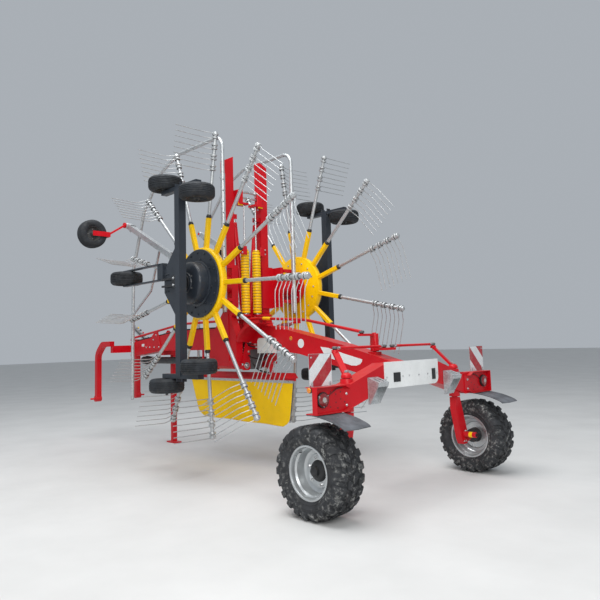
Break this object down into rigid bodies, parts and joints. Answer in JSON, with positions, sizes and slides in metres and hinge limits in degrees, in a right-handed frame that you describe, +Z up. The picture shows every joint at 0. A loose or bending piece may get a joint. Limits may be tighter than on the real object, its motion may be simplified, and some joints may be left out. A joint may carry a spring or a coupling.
{
  "type": "twin rotor hay rake",
  "caption": "Trailed twin rotor hay rake folded upright for the road, with lift arms, tined rotors, guard hoops, a steered rear axle, swath curtain and headstock.",
  "frame": {"origin": "on the ground under the middle of the machine", "axes": "+X forward to the hitch, +Y left, +Z up"},
  "size_m": [6.59, 2.85, 4.109],
  "materials": {
    "red_paint": "gloss",
    "yellow_paint": "gloss",
    "grey_paint": "satin",
    "galvanised": "satin",
    "steel": "satin",
    "tyre": "matt",
    "rim": "satin",
    "small_wheel": "matt",
    "white_sheet": "satin",
    "board": "gloss",
    "lamp": "gloss",
    "flap": "matt",
    "curtain": "matt",
    "white_plastic": "satin",
    "black": "satin"
  },
  "bodies": {
    "frame": {"main_frame": "red_paint", "rear_axle_beam": "red_paint", "tail_panel": "white_sheet", "warning_boards": "board", "tail_lamps": "lamp", "wheel_chocks": "galvanised", "mud_flaps": "flap", "curtain_bar": "red_paint", "swath_curtain": "curtain", "driveline": "black", "control_box": "white_plastic", "hose_holder": "galvanised"},
    "headstock": {"headstock": "red_paint"},
    "parking_leg": {"parking_leg": "red_paint"},
    "bellcrank": {"bellcrank": "red_paint"},
    "steering_rod": {"steering_rod": "red_paint"},
    "tie_rod_left": {"tie_rod_left": "red_paint"},
    "knuckle_left": {"knuckle_left": "red_paint"},
    "main_wheel_left": {"main_tyre_left": "tyre", "main_rim_left": "rim"},
    "lift_arm_left": {"lift_arm_left": "red_paint", "relief_spring_left": "yellow_paint"},
    "lift_barrel_left": {"lift_barrel_left": "black"},
    "lift_rod_left": {"lift_rod_left": "steel"},
    "rotor_head_left": {"rotor_head_left": "red_paint", "guard_hoop_left": "galvanised", "chassis_left": "grey_paint", "jockey_boom_left": "galvanised"},
    "rotor_left": {"rotor_hub_left": "yellow_paint", "tine_arms_left": "galvanised"},
    "caster_left": {"caster_fork_left": "red_paint"},
    "bogie_wheel_left_1": {"bogie_wheel_left_1": "small_wheel"},
    "bogie_wheel_left_2": {"bogie_wheel_left_2": "small_wheel"},
    "bogie_wheel_left_3": {"bogie_wheel_left_3": "small_wheel"},
    "bogie_wheel_left_4": {"bogie_wheel_left_4": "small_wheel"},
    "sense_wheel_left": {"sense_wheel_left": "small_wheel"},
    "jockey_wheel_left": {"jockey_wheel_left": "small_wheel"},
    "tie_rod_right": {"tie_rod_right": "red_paint"},
    "knuckle_right": {"knuckle_right": "red_paint"},
    "main_wheel_right": {"main_tyre_right": "tyre", "main_rim_right": "rim"},
    "lift_arm_right": {"lift_arm_right": "red_paint", "relief_spring_right": "yellow_paint"},
    "lift_barrel_right": {"lift_barrel_right": "black"},
    "lift_rod_right": {"lift_rod_right": "steel"},
    "rotor_head_right": {"rotor_head_right": "red_paint", "guard_hoop_right": "galvanised", "chassis_right": "grey_paint", "jockey_boom_right": "galvanised"},
    "rotor_right": {"rotor_hub_right": "yellow_paint", "tine_arms_right": "galvanised"},
    "caster_right": {"caster_fork_right": "red_paint"},
    "bogie_wheel_right_1": {"bogie_wheel_right_1": "small_wheel"},
    "bogie_wheel_right_2": {"bogie_wheel_right_2": "small_wheel"},
    "bogie_wheel_right_3": {"bogie_wheel_right_3": "small_wheel"},
    "bogie_wheel_right_4": {"bogie_wheel_right_4": "small_wheel"},
    "sense_wheel_right": {"sense_wheel_right": "small_wheel"},
    "jockey_wheel_right": {"jockey_wheel_right": "small_wheel"}
  },
  "joints": [
    {"name": "headstock_yaw", "type": "hinge", "parent": "frame", "child": "headstock", "pos_m": [2.605, 0, 1.455], "axis": [0, 0, 1], "range_deg": [-50, 50]},
    {"name": "leg_fold", "type": "hinge", "parent": "frame", "child": "parking_leg", "pos_m": [1.805, -0.2, 1.38], "axis": [0, 1, 0], "range_deg": [0, 85]},
    {"name": "bellcrank_turn", "type": "hinge", "parent": "frame", "child": "bellcrank", "pos_m": [-2.465, 0, 1.45], "axis": [0, 0, 1], "range_deg": [-20, 20]},
    {"name": "steering_rod_slide", "type": "slide", "parent": "frame", "child": "steering_rod", "axis": [1, 0, 0], "range_m": [-0.08, 0.08]},
    {"name": "tie_rod_slide_left", "type": "slide", "parent": "frame", "child": "tie_rod_left", "axis": [0, 1, 0], "range_m": [-0.07, 0.07]},
    {"name": "steer_left", "type": "hinge", "parent": "frame", "child": "knuckle_left", "pos_m": [-2.845, 0.87, 1], "axis": [0, 0, 1], "range_deg": [-20, 20]},
    {"name": "main_wheel_spin_left", "type": "hinge", "parent": "knuckle_left", "child": "main_wheel_left", "pos_m": [-2.845, 1.255, 0.395], "axis": [0, 1, 0], "continuous": true},
    {"name": "fold_left", "type": "hinge", "parent": "frame", "child": "lift_arm_left", "pos_m": [-0.315, 0.2, 1.218], "axis": [-1, 0, 0], "range_deg": [0, 90]},
    {"name": "extend_left", "type": "slide", "parent": "lift_arm_left", "child": "rotor_head_left", "axis": [0, 0, 1], "range_m": [0, 1.41]},
    {"name": "lift_barrel_turn_left", "type": "hinge", "parent": "frame", "child": "lift_barrel_left", "pos_m": [-0.315, 0.06, 1.9], "axis": [-1, 0, 0], "range_deg": [0, 103.13]},
    {"name": "lift_rod_slide_left", "type": "slide", "parent": "lift_barrel_left", "child": "lift_rod_left", "axis": [0, 0.0995, 0.995], "range_m": [0, 0.9305]},
    {"name": "rotor_spin_left", "type": "hinge", "parent": "rotor_head_left", "child": "rotor_left", "pos_m": [-0.474, 0.783, 2.228], "axis": [0, 1, 0], "continuous": true},
    {"name": "bogie_wheel_spin_left_1", "type": "hinge", "parent": "rotor_head_left", "child": "bogie_wheel_left_1", "pos_m": [-0.995, 1.215, 3.1975], "axis": [0, 0, 1], "continuous": true},
    {"name": "bogie_wheel_spin_left_2", "type": "hinge", "parent": "rotor_head_left", "child": "bogie_wheel_left_2", "pos_m": [-0.33, 1.215, 3.4225], "axis": [0, 0, 1], "continuous": true},
    {"name": "bogie_wheel_spin_left_3", "type": "hinge", "parent": "rotor_head_left", "child": "bogie_wheel_left_3", "pos_m": [-0.995, 1.215, 1.2585], "axis": [0, 0, 1], "continuous": true},
    {"name": "bogie_wheel_spin_left_4", "type": "hinge", "parent": "rotor_head_left", "child": "bogie_wheel_left_4", "pos_m": [-0.33, 1.215, 1.0335], "axis": [0, 0, 1], "continuous": true},
    {"name": "sense_wheel_spin_left", "type": "hinge", "parent": "rotor_head_left", "child": "sense_wheel_left", "pos_m": [0.635, 1.215, 2.37], "axis": [0, 0, 1], "continuous": true},
    {"name": "caster_swivel_left", "type": "hinge", "parent": "rotor_head_left", "child": "caster_left", "pos_m": [1.65505, 0.648, 3.28951], "axis": [0, 1, 0], "continuous": true},
    {"name": "jockey_wheel_spin_left", "type": "hinge", "parent": "caster_left", "child": "jockey_wheel_left", "pos_m": [1.65505, 1.215, 3.1095], "axis": [1, 0, 0], "continuous": true},
    {"name": "tie_rod_slide_right", "type": "slide", "parent": "frame", "child": "tie_rod_right", "axis": [0, 1, 0], "range_m": [-0.07, 0.07]},
    {"name": "steer_right", "type": "hinge", "parent": "frame", "child": "knuckle_right", "pos_m": [-2.845, -0.87, 1], "axis": [0, 0, 1], "range_deg": [-20, 20]},
    {"name": "main_wheel_spin_right", "type": "hinge", "parent": "knuckle_right", "child": "main_wheel_right", "pos_m": [-2.845, -1.255, 0.395], "axis": [0, 1, 0], "continuous": true},
    {"name": "fold_right", "type": "hinge", "parent": "frame", "child": "lift_arm_right", "pos_m": [-0.315, -0.2, 1.218], "axis": [1, 0, 0], "range_deg": [0, 90]},
    {"name": "extend_right", "type": "slide", "parent": "lift_arm_right", "child": "rotor_head_right", "axis": [0, 0, 1], "range_m": [0, 1.41]},
    {"name": "lift_barrel_turn_right", "type": "hinge", "parent": "frame", "child": "lift_barrel_right", "pos_m": [-0.315, -0.06, 1.9], "axis": [1, 0, 0], "range_deg": [0, 103.13]},
    {"name": "lift_rod_slide_right", "type": "slide", "parent": "lift_barrel_right", "child": "lift_rod_right", "axis": [0, -0.0995, 0.995], "range_m": [0, 0.9305]},
    {"name": "rotor_spin_right", "type": "hinge", "parent": "rotor_head_right", "child": "rotor_right", "pos_m": [-0.474, -0.783, 2.228], "axis": [0, 1, 0], "continuous": true},
    {"name": "bogie_wheel_spin_right_1", "type": "hinge", "parent": "rotor_head_right", "child": "bogie_wheel_right_1", "pos_m": [-0.995, -1.215, 3.1975], "axis": [0, 0, 1], "continuous": true},
    {"name": "bogie_wheel_spin_right_2", "type": "hinge", "parent": "rotor_head_right", "child": "bogie_wheel_right_2", "pos_m": [-0.33, -1.215, 3.4225], "axis": [0, 0, 1], "continuous": true},
    {"name": "bogie_wheel_spin_right_3", "type": "hinge", "parent": "rotor_head_right", "child": "bogie_wheel_right_3", "pos_m": [-0.995, -1.215, 1.2585], "axis": [0, 0, 1], "continuous": true},
    {"name": "bogie_wheel_spin_right_4", "type": "hinge", "parent": "rotor_head_right", "child": "bogie_wheel_right_4", "pos_m": [-0.33, -1.215, 1.0335], "axis": [0, 0, 1], "continuous": true},
    {"name": "sense_wheel_spin_right", "type": "hinge", "parent": "rotor_head_right", "child": "sense_wheel_right", "pos_m": [0.635, -1.215, 2.37], "axis": [0, 0, 1], "continuous": true},
    {"name": "caster_swivel_right", "type": "hinge", "parent": "rotor_head_right", "child": "caster_right", "pos_m": [1.65505, -0.648, 3.28951], "axis": [0, 1, 0], "continuous": true},
    {"name": "jockey_wheel_spin_right", "type": "hinge", "parent": "caster_right", "child": "jockey_wheel_right", "pos_m": [1.65505, -1.215, 3.1095], "axis": [1, 0, 0], "continuous": true}
  ],
  "couplings": [
    {"joint": "bellcrank_turn", "follows": "headstock_yaw", "ratio": 0.335},
    {"joint": "steering_rod_slide", "follows": "headstock_yaw", "m_per_rad": -0.067},
    {"joint": "tie_rod_slide_left", "follows": "headstock_yaw", "m_per_rad": -0.0603},
    {"joint": "steer_left", "follows": "headstock_yaw", "ratio": -0.3015},
    {"joint": "extend_left", "follows": "fold_left", "m_per_rad": 0.89127},
    {"joint": "lift_barrel_turn_left", "follows": "fold_left", "ratio": 1.1348},
    {"joint": "lift_rod_slide_left", "follows": "fold_left", "m_per_rad": 0.58599},
    {"joint": "tie_rod_slide_right", "follows": "headstock_yaw", "m_per_rad": -0.0603},
    {"joint": "steer_right", "follows": "headstock_yaw", "ratio": -0.3015},
    {"joint": "extend_right", "follows": "fold_right", "m_per_rad": 0.89127},
    {"joint": "lift_barrel_turn_right", "follows": "fold_right", "ratio": 1.1348},
    {"joint": "lift_rod_slide_right", "follows": "fold_right", "m_per_rad": 0.58599}
  ]
}
